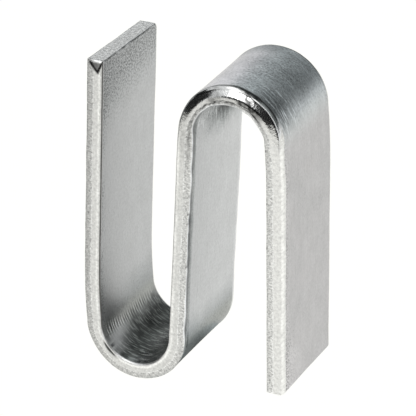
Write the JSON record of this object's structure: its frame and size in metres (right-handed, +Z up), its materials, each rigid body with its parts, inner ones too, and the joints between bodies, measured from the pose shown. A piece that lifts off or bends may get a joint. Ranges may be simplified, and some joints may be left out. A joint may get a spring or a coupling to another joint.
{
  "type": "flat s-hook",
  "caption": "Flat metal strip bent into an S: a slot open at the bottom hangs on a thin rail, a slot open at the top holds a bar or panel.",
  "frame": {"origin": "centre of the upper bend, midway across the strip", "axes": "+Z up along the middle leg, +X across the legs from the left free leg to the right one, +Y across the strip's width"},
  "size_m": [0.0263, 0.014, 0.0398],
  "materials": {
    "strip_metal": "plain satin metal, darker where it was bent, with punched edges"
  },
  "bodies": {
    "root": {"hook_strip": "strip_metal"}
  },
  "joints": []
}
